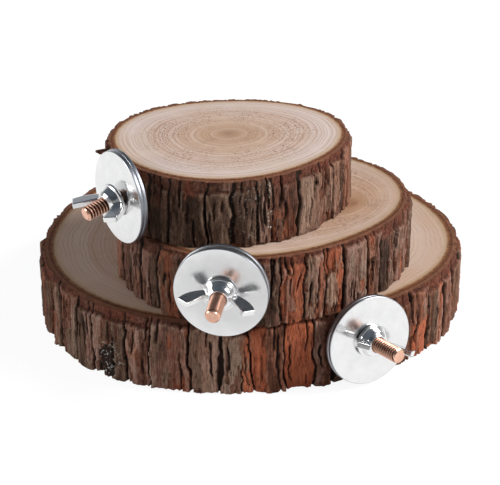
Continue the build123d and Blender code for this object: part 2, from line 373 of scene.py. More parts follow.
def bark_relief(piece, theta, level):
    """Depth of the bark's surface below the outline, and the masks that colour it."""
    rng = np.random.default_rng(piece.seed)
    angle, height = np.meshgrid(theta, level, indexing="ij")
    girth, thickness = 2 * pi * piece.radius, piece.top - piece.base

    def noise(layers):
        total = 0
        for strength, across, along in layers:
            cells = max(3, round(girth / across)), max(1, round(thickness / along))
            total = total + strength * lattice_noise(rng, *cells, angle / 360, height)
        return total

    # Which plate each point is on, and how far it is from the furrows on both sides
    starts = furrow_angles(piece, level)
    shifted = angle + np.degrees(noise(FURROW_WANDER) / piece.radius)
    shifted = (shifted - starts[:, 0]) % 360 + starts[:, 0]
    plate = np.empty(angle.shape, int)
    for row, furrows in enumerate(starts):
        plate[:, row] = np.searchsorted(furrows, shifted[:, row], side="right") - 1
    plate = np.clip(plate, 0, piece.plates - 1)
    after = (plate + 1) % piece.plates
    rows = np.broadcast_to(np.arange(len(level)), angle.shape)
    near = np.radians(shifted - starts[rows, plate]) * piece.radius
    far = np.radians(starts[rows, plate + 1] - shifted) * piece.radius
    width = near + far

    def spread(salt, low=0, high=1):
        """A value between two limits for the plate that each point is on."""
        return (low + (high - low) * scatter(piece, salt))[plate]

    # The plate's two strips
    wide = FURROW_WIDTH_SPREAD * scatter(piece, "width") ** FURROW_WIDTH_POWER
    half = (FURROW_LEAST_WIDTH + wide) / 2 + MORE_FURROW
    lip, far_lip = half[plate], half[after]
    split = lip + (width - lip - far_lip - STRIP_SLOPE) * spread("split", *STRIP_SHARE)
    second = smooth_step(near, split + 0.3 * STRIP_SLOPE, split + 0.7 * STRIP_SLOPE)
    on_second = second > 0.5

    def by_strip(salt):
        """A value from -0.5 to 0.5 for the strip that each point is on."""
        return np.where(on_second, spread("second" + salt), spread("first" + salt)) - 0.5

    # The saw tore the bark back near the top
    rim = np.where(spread("rim") < 0.5, LOW_RIM, HIGH_RIM)
    torn = np.clip((height + noise(RAGGED_RIM) / thickness - rim) / RIM_SLOPE, 0, 1)

    def strip_depth(strip):
        drop = STRIP_DROP * vary(piece, strip, level)[rows, plate]
        drop = drop + SUNKEN_DROP * spread(strip) ** SUNKEN_POWER
        return piece.bark * (drop + torn * (np.maximum(RIM_DEPTH, drop) - drop))

    # Each strip has its own depth, and falls off from the other strip to the furrow
    first = strip_depth("first")
    surface = first + (strip_depth("second") - first) * second
    past_split = split + STRIP_SLOPE
    from_split = np.where(
        on_second,
        (near - past_split) / (width - far_lip - past_split),
        (split - near) / (split - lip),
    )
    surface += PLATE_CROWN * piece.bark * np.clip(from_split, 0, 1)

    # Patches keep to whole strips and end raggedly up and down
    ends = np.where(on_second, width - far_lip, lip)
    strip_angle = angle + np.degrees(((split + ends) / 2 - near) / piece.radius)
    ragged_height = height + noise(TORN_ENDS)

    def patched(patches):
        mask = np.zeros(angle.shape)
        for patch in patches:
            beside = np.abs(arc_from(piece, strip_angle, patch.angle)) < patch.half_width
            inside = beside * between(ragged_height, patch.low, patch.high, PATCH_FADE)
            mask = np.maximum(mask, patch.strength * inside)
        return mask

    red, tan, grey = patched(piece.red), patched(piece.tan), patched(piece.grey)

    # Layers that came off in long patches with torn ends, and loose ones that stand out
    layers = noise(FLAKE_LAYERS)
    worn = layers + WEAR_SPREAD * by_strip("_worn") + RED_WEAR * red**2 * (1 - tan) - TAN_WEAR * tan
    flake, deep_flake = smooth_step(worn, *FLAKE_EDGE), smooth_step(worn, *DEEP_FLAKE_EDGE)
    surface += FLAKE_DEPTH * (flake + deep_flake) * (1 - 0.6 * torn)
    surface -= LOOSE_HEIGHT * smooth_step(-worn, *LOOSE_EDGE) * (1 - torn)

    # Short splits within the plates
    splits = np.zeros(angle.shape)
    for turn in ("_one", "_two", "_three"):
        middle = spread("at" + turn, *SPLIT_PLACE) * width + noise(SPLIT_WANDER)
        low = spread("low" + turn, *SPLIT_FOOT)
        high = low + spread("long" + turn, *SPLIT_LENGTH)
        gap = spread("gap" + turn, *SPLIT_WIDTH)
        line = 1 - smooth_step(np.abs(near - middle), 0.3 * gap, gap + SPLIT_LIP)
        line = line * between(height, low, high, SPLIT_FADE)
        splits = np.maximum(splits, line * spread("cut" + turn, *SPLIT_STRENGTH))
    surface += SPLIT_DEPTH * splits

    # Fibres, and grains where the bark is torn
    fibre = noise(FIBRES)
    surface += FIBRE_DEPTH * fibre + torn * noise(TORN_GRAINS)

    # Furrows, which narrow and widen here and there
    breadth = 1 - NARROWING_SHARE * smooth_step(noise(NARROWING), 0.1, 0.6)
    breadth = breadth + WIDENING_SHARE * smooth_step(noise(WIDENING), 0.2, 0.7)
    wall = np.minimum(
        smooth_step(near / (lip * breadth), FURROW_FLOOR_SHARE, 1),
        smooth_step(far / (far_lip * breadth), FURROW_FLOOR_SHARE, 1),
    )
    deep = FURROW_DEPTH * (1 - FURROW_DEPTH_SPREAD * scatter(piece, "depth")) * piece.bark
    floor = np.where(near < far, deep[plate], deep[after]) + FURROW_FIBRE_DEPTH * fibre
    floor = np.maximum(surface + FURROW_LEAST_DEPTH, floor)
    inset = floor + (surface - floor) * wall
    # Dark mask: furrows darker in colour and deepened with painted shade, and painted shade in the short
    # splits.
    dark = np.clip(1 - wall + SPLIT_DARKNESS * splits, 0, 1)

    # Knots, spurs and lichen
    lichen = np.zeros(angle.shape)
    for mark in piece.marks:
        across = arc_from(piece, angle, mark.angle) / mark.half_width
        up = (height - mark.level) * thickness / mark.half_height
        away = np.hypot(across, up) + noise(KNOT_EDGE)
        inside = 1 - smooth_step(away, 0.55, 1.0)
        inset += mark.depth * inside
        # Knot holes get painted shade in the dark mask.
        dark = np.maximum(dark, inside * (mark.depth > 0))
        lichen = np.maximum(lichen, mark.lichen * (1 - smooth_step(away, 0.6, 1.5)))
    for patch in piece.lichen:
        beside = np.abs(arc_from(piece, angle, patch.angle)) / patch.half_width
        inside = (1 - smooth_step(beside, 0.5, 1.2)) * (height > patch.low) * (height < patch.high)
        lichen = np.maximum(lichen, 0.75 * patch.strength * inside)

    inset = np.minimum(inset, (1 - INNER_BARK_SHARE) * piece.bark - LEAST_BARK)
    # Painted light and shade: the high mask is lighter where the surface stands above its blurred
    # surroundings and darker where it sinks below them.
    broad, fine = blurred(inset, 5) - inset, blurred(inset, 2) - inset
    # Grey patches darken the tone: painted shade on the small's front and the medium's left, greyer bark as
    # well.
    tone = 0.5 + 0.8 * by_strip("_tone") * (1 - 0.4 * grey)
    tone = tone - 0.25 * layers + 0.12 * fibre - 0.2 * grey
    masks = {
        "flake": np.clip(0.75 * flake + 0.25 * deep_flake, 0, 1) * (1 - 0.75 * grey),
        "furrow": dark,
        "tone": np.clip(tone, 0, 1),
        "hue": np.clip(0.5 + by_strip("_hue") + 0.3 * layers, 0, 1) * (1 - 0.8 * grey),
        "high": np.clip(0.5 + 0.5 * broad + 0.6 * fine, 0, 1),
        "red": red * np.maximum(flake, 0.25),
        "tan": tan,
        "torn": torn * (1 - 0.6 * grey),
        "lichen": lichen,
    }
    return inset, masks


def add_object(name, data):
    """A new object in the scene."""
    made = bpy.data.objects.new(name, data)
    bpy.context.scene.collection.objects.link(made)
    return made


def mesh_piece(name, vertices, faces, attributes, sharp):
    """A new object from points, with its point attributes and smooth faces."""
    mesh = bpy.data.meshes.new(name)
    mesh.from_pydata([tuple(v) for v in vertices], [], [tuple(f) for f in faces])
    for key, values in attributes.items():
        layer = mesh.attributes.new(key, "FLOAT", "POINT")
        layer.data.foreach_set("value", np.asarray(values, np.float32))
    mesh.update()
    mesh.shade_smooth()
    mesh.set_sharp_from_angle(angle=radians(sharp))
    return add_object(name, mesh)


def ring_faces(columns, rows, close_rows):
    """Quads of a grid that closes on itself across its columns, and across its rows if asked."""
    column = np.arange(columns)
    row = np.arange(rows if close_rows else rows - 1)
    i, j = np.meshgrid(column, row, indexing="ij")
    ahead, above = (i + 1) % columns, (j + 1) % rows
    corners = (i * rows + j, ahead * rows + j, ahead * rows + above, i * rows + above)
    return np.stack([c.ravel() for c in corners], axis=1)


def turned(radius, turn, z):
    """Points at radii and heights round Z, one after the other."""
    return np.stack([radius * np.cos(turn), radius * np.sin(turn), z], axis=2).reshape(-1, 3)


def make_bark(piece):
    """Closed ring of bark: furrowed outside, sawn top and bottom, hidden inner wall."""
    columns = round(2 * pi * piece.radius / BARK_GRAIN)
    thickness = piece.top - piece.base
    theta = np.linspace(0, 360, columns, endpoint=False)
    level = np.linspace(0, 1, round(thickness / BARK_GRAIN))
    inset, masks = bark_relief(piece, theta, level)
    rng = np.random.default_rng(piece.seed + 1)

    def chip_noise(width):
        noise = lattice_noise(rng, round(columns / width), 1, theta / 360, np.zeros(columns))
        return np.clip(noise, 0, 1)

    def chip(sizes, chips, furrow):
        least, by_chance, at_furrows = sizes
        return (least + by_chance * chips + at_furrows * furrow)[:, None]

    chips = chip_noise(CHIP_COLUMNS) + 0.5 * chip_noise(SMALL_CHIP_COLUMNS)
    top_chip = chip(TOP_CHIP, chips, masks["furrow"][:, -1])
    base_chip = chip(BASE_CHIP, np.roll(chips, columns // 3), masks["furrow"][:, 0])

    # Cross-section of the ring: out along the bottom, up the wall, in along the top
    edge = piece.reach(theta)[:, None]
    wall = edge - inset
    inner = edge - (1 - INNER_BARK_SHARE) * piece.bark - SEAM_DEPTH
    rim = smooth_step(SECTION_CUTS, 0.4, 1.0)
    bottom_r = inner + (wall[:, :1] - inner) * SECTION_CUTS
    top_r = inner + (wall[:, -1:] - inner) * SECTION_CUTS[::-1]
    bottom_z = SEAM_DEPTH + (base_chip - SEAM_DEPTH) * rim
    top_z = thickness - SEAM_DEPTH - (top_chip - SEAM_DEPTH) * rim[::-1]
    wall_z = base_chip + level * (thickness - base_chip - top_chip)
    radius = np.hstack([bottom_r, wall, top_r])
    z = piece.base + np.hstack([bottom_z, wall_z, top_z])
    vertices = (turned(radius, np.radians(theta)[:, None], z) + (*piece.centre, 0)) * MM

    flat = np.zeros(bottom_r.shape)
    attributes = {
        key: np.hstack([flat + mask[:, :1], mask, flat + mask[:, -1:]]).ravel()
        for key, mask in masks.items()
    }
    attributes["sawn"] = np.hstack([flat + 1, np.zeros(wall.shape), flat + 1]).ravel()
    faces = ring_faces(*radius.shape, True)
    return mesh_piece(f"{piece.name}_bark", vertices, faces, attributes, BARK_SHARP)


def rounded(corner, toward_middle, start):
    """Points of a quarter round at a corner of a washer's section, from a start angle."""
    x, y = (c + t * WASHER_ROUNDING for c, t in zip(corner, toward_middle))
    angles = [radians(start + 90 * i / (ROUNDING_STEPS - 1)) for i in range(ROUNDING_STEPS)]
    return [(x + WASHER_ROUNDING * cos(a), y + WASHER_ROUNDING * sin(a)) for a in angles]


def make_washer(piece, which):
    """Broad washer with rolled edges."""
    half = WASHER_THICKNESS / 2
    section = np.array([
        *rounded((WASHER_RADIUS, -half), (-1, 1), -90),
        *rounded((WASHER_RADIUS, half), (-1, -1), 0),
        *rounded((WASHER_HOLE_RADIUS, half), (1, -1), 90),
        *rounded((WASHER_HOLE_RADIUS, -half), (1, 1), 180),
    ])
    turn = np.linspace(0, 2 * pi, WASHER_SEGMENTS, endpoint=False)
    t, radius = np.meshgrid(turn, section[:, 0], indexing="ij")
    vertices = turned(radius, t, np.broadcast_to(section[:, 1], t.shape))
    # Rim mask: rougher zinc, and a painted dark reflection on the rim.
    edge = smooth_step(radius, WASHER_RADIUS - WASHER_ROUNDING, WASHER_RADIUS).ravel()
    faces = ring_faces(*t.shape, True)
    washer = mesh_piece(f"{piece.name}_{which}_zinc", vertices, faces, {"edge": edge}, WASHER_SHARP)
    washer.data.transform(piece.washer_place(which))
    return washer


def thread(turn, z, pitch, depth):
    """Cut below the crest of a screw thread: flat crests, flat roots, smooth flanks."""
    phase = np.abs(((z / pitch - turn / (2 * pi)) % 1) - 0.5) * 2
    return depth * smooth_step(phase, THREAD_CREST, THREAD_ROOT)


def make_bolt(piece):
    """Hanger bolt: fine machine thread outside, coarse screw and point in the wood."""
    bark, free = piece.bolt_span()
    foot, shoulder = bark - BURIED_LENGTH, free - BOLT_CHAMFER
    rows = np.arange(foot, shoulder, THREAD_PITCH / ROWS_PER_PITCH)
    rows = np.append(rows, [shoulder, free - BOLT_CHAMFER / 2, free - BOLT_END_ROLL, free, free])
    turn = np.linspace(0, 2 * pi, BOLT_SEGMENTS, endpoint=False)
    t, z = np.meshgrid(turn, rows, indexing="ij")
    cut = thread(t, z, THREAD_PITCH, THREAD_DEPTH)
    screw = SCREW_RADIUS - thread(t, z, SCREW_PITCH, SCREW_DEPTH)
    point = smooth_step(z, foot - 1, foot + SCREW_POINT)
    end_radius = BOLT_RADIUS - BOLT_CHAMFER
    radius = np.where(z > bark - SHANK_INSIDE_BARK, BOLT_RADIUS - cut, screw * point)
    radius = np.minimum(radius, end_radius + np.clip(free - z, 0, None))
    radius[:, -2] = end_radius - BOLT_END_STEP
    radius[:, -1] = BOLT_END_RING
    radius[:, 0] = POINT_RADIUS
    vertices = [*turned(radius, t, z), (0, 0, foot), (0, 0, free)]
    # Painted shade for the copper: some on the whole threaded shank, most in the thread roots, none at the
    # end.
    shade = LEAST_ROOT_SHADE + (1 - LEAST_ROOT_SHADE) * cut / THREAD_DEPTH
    root = np.where(z < free - BOLT_CHAMFER / 2, shade, 0).ravel()
    faces = list(ring_faces(*t.shape, False))
    last = len(rows) - 1
    for i in range(BOLT_SEGMENTS):
        here, ahead = i * len(rows), (i + 1) % BOLT_SEGMENTS * len(rows)
        faces.append((ahead, here, len(vertices) - 2))
        faces.append((here + last, ahead + last, len(vertices) - 1))
    attributes = {"root": np.append(root, [0, 0])}
    bolt = mesh_piece(f"{piece.name}_bolt", vertices, faces, attributes, BOLT_SHARP)
    bolt.data.transform(piece.nut_place())
    return bolt


def arc_through(start, middle, end, steps):
    """Points of a curve that leaves one point, passes a second and reaches a third."""
    pull = [2 * m - (s + e) / 2 for s, m, e in zip(start, middle, end)]
    points = []
    for i in range(steps + 1):
        t = i / steps
        points.append(tuple(
            s * (1 - t) ** 2 + p * 2 * t * (1 - t) + e * t * t for s, p, e in zip(start, pull, end)))
    return points


def wing_faces(side):
    """Corners of one wing's front and back, which have a rounded belly."""
    foot_height = NUT_FLANGE_HEIGHT / 2
    outline = [
        (WING_ROOT_RADIUS, foot_height),
        *arc_through((HUB_FOOT_RADIUS, foot_height), WING_BELLY, WING_TIP, BELLY_STEPS),
        WING_TOP,
        (WING_NOTCH_RADIUS, WING_NOTCH_HEIGHT),
        (WING_ROOT_RADIUS, WING_NOTCH_HEIGHT),
    ]
    half = side * WING_THICKNESS / 2
    return [[(side * r, y, h) for r, h in outline] for y in (-half, half)]


def make_nut(piece):
    """Cast wing nut: hub and wings melted into one skin with soft edges."""
    mesh = bmesh.new()
    profile = (
        (NUT_BORE_RADIUS, 0), (NUT_FLANGE_RADIUS, 0), (NUT_FLANGE_RADIUS, NUT_FLANGE_HEIGHT),
        (HUB_FOOT_RADIUS, NUT_FLANGE_HEIGHT), (HUB_TOP_RADIUS, HUB_HEIGHT - HUB_ROUNDING),
        (HUB_TOP_RADIUS - HUB_ROUNDING, HUB_HEIGHT), (NUT_BORE_RADIUS, HUB_HEIGHT),
    )
    hub = []
    for i in range(NUT_SEGMENTS):
        a = 2 * pi * i / NUT_SEGMENTS
        hub += [mesh.verts.new((r * cos(a), r * sin(a), h)) for r, h in profile]
    for corners in ring_faces(NUT_SEGMENTS, len(profile), True):
        mesh.faces.new([hub[k] for k in corners])
    for side in (1, -1):
        front, back = ([mesh.verts.new(v) for v in face] for face in wing_faces(side))
        mesh.faces.new(front)
        mesh.faces.new(back[::-1])
        for k in range(len(front)):
            j = (k + 1) % len(front)
            mesh.faces.new((front[j], front[k], back[k], back[j]))
    bmesh.ops.recalc_face_normals(mesh, faces=mesh.faces)
    name = f"{piece.name}_nut"
    rough = bpy.data.meshes.new(name)
    mesh.to_mesh(rough)
    mesh.free()
    nut = add_object(name, rough)

    remesh = nut.modifiers.new("melt", "REMESH")
    remesh.mode = "VOXEL"
    remesh.voxel_size = NUT_VOXEL
    soften = nut.modifiers.new("soften", "SMOOTH")
    soften.factor = 0.5
    soften.iterations = NUT_SOFTENING_ROUNDS
    bpy.context.view_layer.update()
    solid = bpy.data.meshes.new_from_object(nut.evaluated_get(bpy.context.evaluated_depsgraph_get()))
    nut.modifiers.clear()
    nut.data = solid
    solid.name = name
    solid.transform(piece.nut_place() @ Matrix.Rotation(radians(piece.wing_turn), 4, "Z"))
    solid.shade_smooth()
    return nut


class Nodes:
    """A node tree, with short calls to add and wire its nodes."""

    def __init__(self, tree):
        self.tree = tree

    def add(self, kind, **settings):
        node = self.tree.nodes.new("ShaderNode" + kind)
        for key, value in settings.items():
            setattr(node, key, value)
        return node

    def feed(self, socket, value):
        """Wires an output into a socket, or sets the socket to a plain value."""
        if isinstance(value, bpy.types.NodeSocket):
            self.tree.links.new(value, socket)
        else:
            socket.default_value = value

    def fed(self, node, *values):
        """The first output of a node whose first inputs get some values."""
        for socket, value in zip(node.inputs, values):
            self.feed(socket, value)
        return node.outputs[0]

    def math(self, operation, *values):
        return self.fed(self.add("Math", operation=operation), *values)

    def total(self, *values):
        result = values[0]
        for value in values[1:]:
            result = self.math("ADD", result, value)
        return result

    def product(self, *values):
        result = values[0]
        for value in values[1:]:
            result = self.math("MULTIPLY", result, value)
        return result

    def centred(self, value):
        return self.math("SUBTRACT", value, 0.5)

    def step(self, value, low, high, start=0.0, end=1.0):
        """Smooth step of a value between two limits."""
        return self.fed(self.add("MapRange", interpolation_type="SMOOTHSTEP"), value, low, high, start, end)

    def vector(self, x, y, z):
        return self.fed(self.add("CombineXYZ"), x, y, z)

    def parts(self, vector):
        """X, Y and Z of a vector."""
        node = self.add("SeparateXYZ")
        self.feed(node.inputs[0], vector)
        return node.outputs

    def noise(self, vector, scale=1.0, detail=2.0, roughness=0.5):
        node = self.add("TexNoise")
        self.feed(node.inputs["Vector"], vector)
        for key, value in (("Scale", scale), ("Detail", detail), ("Roughness", roughness)):
            node.inputs[key].default_value = value
        return node.outputs[0]

    def mix(self, share, first, second, blend="MIX"):
        node = self.add("Mix", data_type="RGBA", blend_type=blend)
        for socket, value in zip((node.inputs[0], node.inputs[6], node.inputs[7]), (share, first, second)):
            self.feed(socket, (*value, 1) if isinstance(value, tuple) else value)
        return node.outputs[2]

    def ramp(self, value, *stops, shade=1.0):
        """Colour by a value, from stops of a position and a colour, all darkened by a shade."""
        node = self.add("ValToRGB")
        self.feed(node.inputs[0], value)
        elements = node.color_ramp.elements
        while len(elements) < len(stops):
            elements.new(1)
        for element, (position, colour) in zip(elements, stops):
            element.position = position
            element.color = (*(shade * part for part in colour), 1)
        return node.outputs[0]


class Shader(Nodes):
    """The nodes of a new material."""

    def __init__(self, name, **settings):
        self.material = bpy.data.materials.new(name)
        self.material.use_nodes = True
        super().__init__(self.material.node_tree)
        self.surface = self.tree.nodes["Principled BSDF"]
        for socket, value in settings.items():
            self.surface.inputs[socket.replace("_", " ")].default_value = value

    def place(self):
        """X, Y and Z of the point in millimetres, in the frame of the part at rest."""
        scaled = self.add("VectorMath", operation="SCALE")
        self.feed(scaled.inputs[0], self.add("TexCoord").outputs["Object"])
        scaled.inputs["Scale"].default_value = 1 / MM
        return self.parts(scaled.outputs[0])

    def mask(self, name):
        return self.add("Attribute", attribute_name=name).outputs["Fac"]

    def bump(self, height, distance, strength):
        node = self.add("Bump")
        self.feed(node.inputs["Height"], height)
        node.inputs["Distance"].default_value = distance * MM
        node.inputs["Strength"].default_value = strength
        self.feed(self.surface.inputs["Normal"], node.outputs[0])

    def coat(self, share, colour, blend="MIX"):
        """Lays a share of a colour over the colour so far."""
        self.colour = self.mix(share, self.colour, colour, blend)

    def finish(self):
        self.feed(self.surface.inputs["Base Color"], self.colour)
        return self.material


class SliceShader(Shader):
    """Material of a slice's wood or bark, with the point's place on the slice."""

    def __init__(self, piece, name, **settings):
        super().__init__(f"{piece.name}_{name}", **settings)
        x, y, z = self.place()
        self.dx = self.math("SUBTRACT", x, piece.centre[0])
        self.dy = self.math("SUBTRACT", y, piece.centre[1])
        self.z = z
        self.flat = self.vector(self.dx, self.dy, z)
        self.angle = self.math("ARCTAN2", self.dy, self.dx)
        self.reach = piece.radius
        waves = ((piece.oval, piece.oval_toward, 2.0), (piece.lobe, piece.lobe_toward, 3.0))
        for size, toward, count in waves:
            turn = self.product(self.math("SUBTRACT", self.angle, radians(toward)), count)
            self.reach = self.total(self.product(self.math("COSINE", turn), size), self.reach)
        square = self.total(self.product(self.dx, self.dx), self.product(self.dy, self.dy))
        self.depth = self.math("SUBTRACT", self.reach, self.math("SQRT", square))

    def streaks(self, across, up, *noise_settings):
        """Noise with a number of cells to the millimetre across and up the slice."""
        x, y = self.product(self.dx, across), self.product(self.dy, across)
        return self.noise(self.vector(x, y, self.product(self.z, up)), 1.0, *noise_settings)


# Colours of the wood
WOOD_STOPS = (
    (0.0, (0.10, 0.040, 0.018)), (0.05, (0.25, 0.125, 0.062)), (0.12, (0.42, 0.26, 0.16)),
    (0.35, (0.545, 0.385, 0.29)), (0.62, (0.595, 0.46, 0.395)), (0.85, (0.635, 0.53, 0.49)),
    (1.0, (0.635, 0.53, 0.475)),
)
BROWN_ZONE = (0.47, 0.30, 0.19)
PALE_ZONE = (0.69, 0.59, 0.53)
RING_BROWN = (0.335, 0.185, 0.105)
SPECK_BROWN = (0.18, 0.09, 0.05)
PORE_BROWN = (0.34, 0.22, 0.15)
STAIN_TAN = (0.52, 0.36, 0.25)
WARM_TINT = (0.92, 0.80, 0.68)
WOOD_EDGE_TAN = (0.41, 0.265, 0.15)

# Colours of the inner bark
INNER_BARK_STOPS = (
    (0.0, (0.15, 0.047, 0.021)), (0.4, (0.25, 0.085, 0.034)), (0.75, (0.37, 0.165, 0.072)),
    (0.98, (0.52, 0.325, 0.185)),
)
LAYER_BROWN = (0.08, 0.030, 0.017)
TEAR_BROWN = (0.06, 0.020, 0.012)
GRIT_TAN = (0.34, 0.17, 0.09)

# Colours of the outer bark, by lightness, unevenness, fibre, grit or depth
MAUVE_STOPS = (
    (0.08, (0.045, 0.018, 0.011)), (0.32, (0.145, 0.063, 0.041)), (0.57, (0.265, 0.131, 0.092)),
    (0.82, (0.41, 0.240, 0.182)),
)
OLIVE_STOPS = (
    (0.08, (0.033, 0.017, 0.010)), (0.32, (0.098, 0.053, 0.032)), (0.57, (0.185, 0.108, 0.070)),
    (0.82, (0.31, 0.205, 0.145)),
)
BROWN_STOPS = (
    (0.08, (0.048, 0.015, 0.008)), (0.32, (0.152, 0.051, 0.026)), (0.57, (0.270, 0.100, 0.056)),
    (0.82, (0.40, 0.185, 0.118)),
)
UNDER_STOPS = ((0.3, (0.068, 0.023, 0.012)), (0.52, (0.18, 0.064, 0.034)), (0.75, (0.29, 0.125, 0.075)))
RUST_STOPS = ((0.3, (0.21, 0.054, 0.023)), (0.52, (0.47, 0.120, 0.053)), (0.75, (0.60, 0.190, 0.092)))
TAN_STOPS = ((0.3, (0.22, 0.115, 0.07)), (0.7, (0.42, 0.27, 0.195)))
TORN_STOPS = ((0.3, (0.035, 0.010, 0.006)), (0.5, (0.125, 0.034, 0.019)), (0.72, (0.28, 0.090, 0.047)))
SAWN_STOPS = ((0.2, (0.07, 0.028, 0.017)), (0.42, (0.16, 0.062, 0.034)), (0.7, (0.26, 0.112, 0.060)))
# Painted shade inside thin cracks
CRACK_PAINTED_SHADE = (0.030, 0.015, 0.010)
DARK_FIBRE = (0.045, 0.022, 0.015)
PALE_FIBRE = (0.46, 0.32, 0.25)
# Painted shade in the hollows of the bark
HOLLOW_PAINTED_SHADE = (0.040, 0.017, 0.010)
# Darker furrow bark, deepened with painted shade
FURROW_BARK_AND_SHADE = (0.021, 0.011, 0.007)
LICHEN_PALE = (0.62, 0.60, 0.55)

# Colours of the metals
ZINC_STOPS = ((0.3, (0.77, 0.77, 0.775)), (0.55, (0.81, 0.81, 0.81)), (0.75, (0.84, 0.84, 0.835)))
# Painted dark reflection on the washers' rims
PAINTED_RIM_REFLECTION = (0.17, 0.185, 0.22)
COPPER_STOPS = ((0.3, (0.74, 0.40, 0.28)), (0.55, (0.84, 0.50, 0.37)), (0.75, (0.89, 0.57, 0.43)))
# Painted shade in the thread roots
ROOT_PAINTED_SHADE = (0.075, 0.025, 0.016)


def pith_share(s, piece):
    """Share of the way from the pith to the bark, along circles that shift to the middle."""
    wood_edge = s.math("SUBTRACT", s.reach, piece.bark)
    px, py = piece.pith
    lean = 1 - px * px - py * py
    ax = s.math("SUBTRACT", s.math("DIVIDE", s.dx, wood_edge), px)
    ay = s.math("SUBTRACT", s.math("DIVIDE", s.dy, wood_edge), py)
    along = s.total(s.product(ax, px), s.product(ay, py))
    square = s.total(s.product(ax, ax), s.product(ay, ay))
    root = s.math("SQRT", s.total(s.product(along, along), s.product(square, lean)))
    return s.product(s.total(along, root), 1 / lean)


def wood_material(piece):
    """Sawn end grain: uneven rings round the pith, specks along them, faint saw marks."""
    s = SliceShader(piece, "end_grain", Roughness=0.72, Specular_IOR_Level=0.25)
    seed = float(piece.seed)
    wobble = s.centred(s.noise(s.flat, 0.05, 1.0))
    tremble = s.centred(s.noise(s.flat, 0.3))
    rho = s.total(pith_share(s, piece), s.product(wobble, 0.065), s.product(tremble, 0.45 / piece.radius))

    # Growth rings of uneven width and strength
    uneven = s.noise(s.vector(s.product(rho, 7.0), 0.0, seed), 1.0, 3.0)
    phase = s.total(s.product(rho, float(piece.rings)), s.product(uneven, 4.0))
    saw = s.math("FRACT", phase)
    late = s.product(s.step(saw, 0.3, 0.8), s.step(saw, 0.88, 1.0, 1.0, 0.0))
    strength = s.noise(s.vector(s.product(s.math("FLOOR", phase), 0.73), seed, 0.0))
    patch = s.noise(s.flat, 0.09)
    ring = s.product(late, s.step(strength, 0.28, 0.62), s.step(patch, 0.22, 0.58))
    zone = s.noise(s.vector(s.product(rho, 11.0), seed, 3.0))
    s.colour = s.ramp(rho, *WOOD_STOPS)
    s.coat(s.step(zone, 0.4, 0.66, 0.0, 0.3), BROWN_ZONE)
    s.coat(s.step(zone, 0.36, 0.5, 0.35, 0.0), PALE_ZONE)
    s.coat(s.product(ring, 0.66 * piece.ring_strength), RING_BROWN)

    # Dark specks in rows along the rings
    turn_x, turn_y = (s.product(s.math(wave, s.angle), 30.0) for wave in ("COSINE", "SINE"))
    dots = s.noise(s.vector(turn_x, turn_y, s.product(rho, 95.0)), 1.0, 1.0)
    speck = s.product(
        s.step(dots, 0.55, 0.63),
        s.step(rho, 0.06, 0.2),
        s.step(rho, 0.6, 0.95, 1.0, 0.0),
        s.step(s.noise(s.flat, 0.12), 0.34, 0.6),
    )
    s.coat(s.product(speck, 0.9 * piece.ring_strength), SPECK_BROWN)
    pores = s.noise(s.flat, 3.2, 2.0, 0.7)
    s.coat(s.step(pores, 0.36, 0.72, 0.2, 0.0), PORE_BROWN)
    stain = s.noise(s.flat, 0.05, 3.0)
    s.coat(s.step(stain, 0.42, 0.72, 0.0, 0.28), STAIN_TAN)
    s.coat(piece.warmth, WARM_TINT, "MULTIPLY")

    # Soft tan edge against the bark
    inward = s.total(s.math("SUBTRACT", s.depth, piece.bark), s.product(tremble, 1.6))
    s.coat(s.step(inward, 0.0, 2.0, 0.75, 0.0), WOOD_EDGE_TAN)

    across_saw = s.product(s.total(s.dx, s.product(s.dy, 0.35)), 0.9)
    saw_marks = s.noise(s.vector(across_saw, s.product(s.dy, 0.05), 0.0))
    s.bump(s.total(s.product(pores, 0.5), s.product(saw_marks, 0.8), s.product(ring, -0.5)), 0.12, 0.5)
    return s.finish()


def inner_bark_material(piece):
    """Sawn inner bark: tan against the wood, redder and more broken outwards, in thin layers."""
    s = SliceShader(piece, "inner_bark_cut", Roughness=0.82, Specular_IOR_Level=0.2)
    ragged = s.product(s.centred(s.noise(s.flat, 0.9, 4.0, 0.7)), 2.4)
    start = (1 - INNER_BARK_SHARE) * piece.bark
    inward = s.math("SUBTRACT", s.total(s.depth, ragged), start)
    share = s.product(inward, 1 / (INNER_BARK_SHARE * piece.bark))
    broken = s.step(share, 0.25, 0.9, 1.0, 0.3)
    layers = s.noise(s.vector(s.product(s.depth, 3.0), s.product(s.angle, 32.0), 0.0), 1.0, 3.0, 0.6)
    torn = s.noise(s.flat, 0.5, 3.0, 0.6)
    grit = s.noise(s.flat, 2.2, 3.0, 0.7)
    s.colour = s.ramp(share, *INNER_BARK_STOPS, shade=piece.rim_shade)
    s.coat(s.product(s.step(layers, 0.42, 0.66, 0.0, 0.6), broken), LAYER_BROWN)
    s.coat(s.product(s.step(torn, 0.5, 0.66, 0.0, 0.65), broken), TEAR_BROWN)
    s.coat(s.step(grit, 0.52, 0.75, 0.0, 0.4), GRIT_TAN)
    s.bump(s.total(grit, layers, torn), 0.4, 0.8)
    return s.finish()


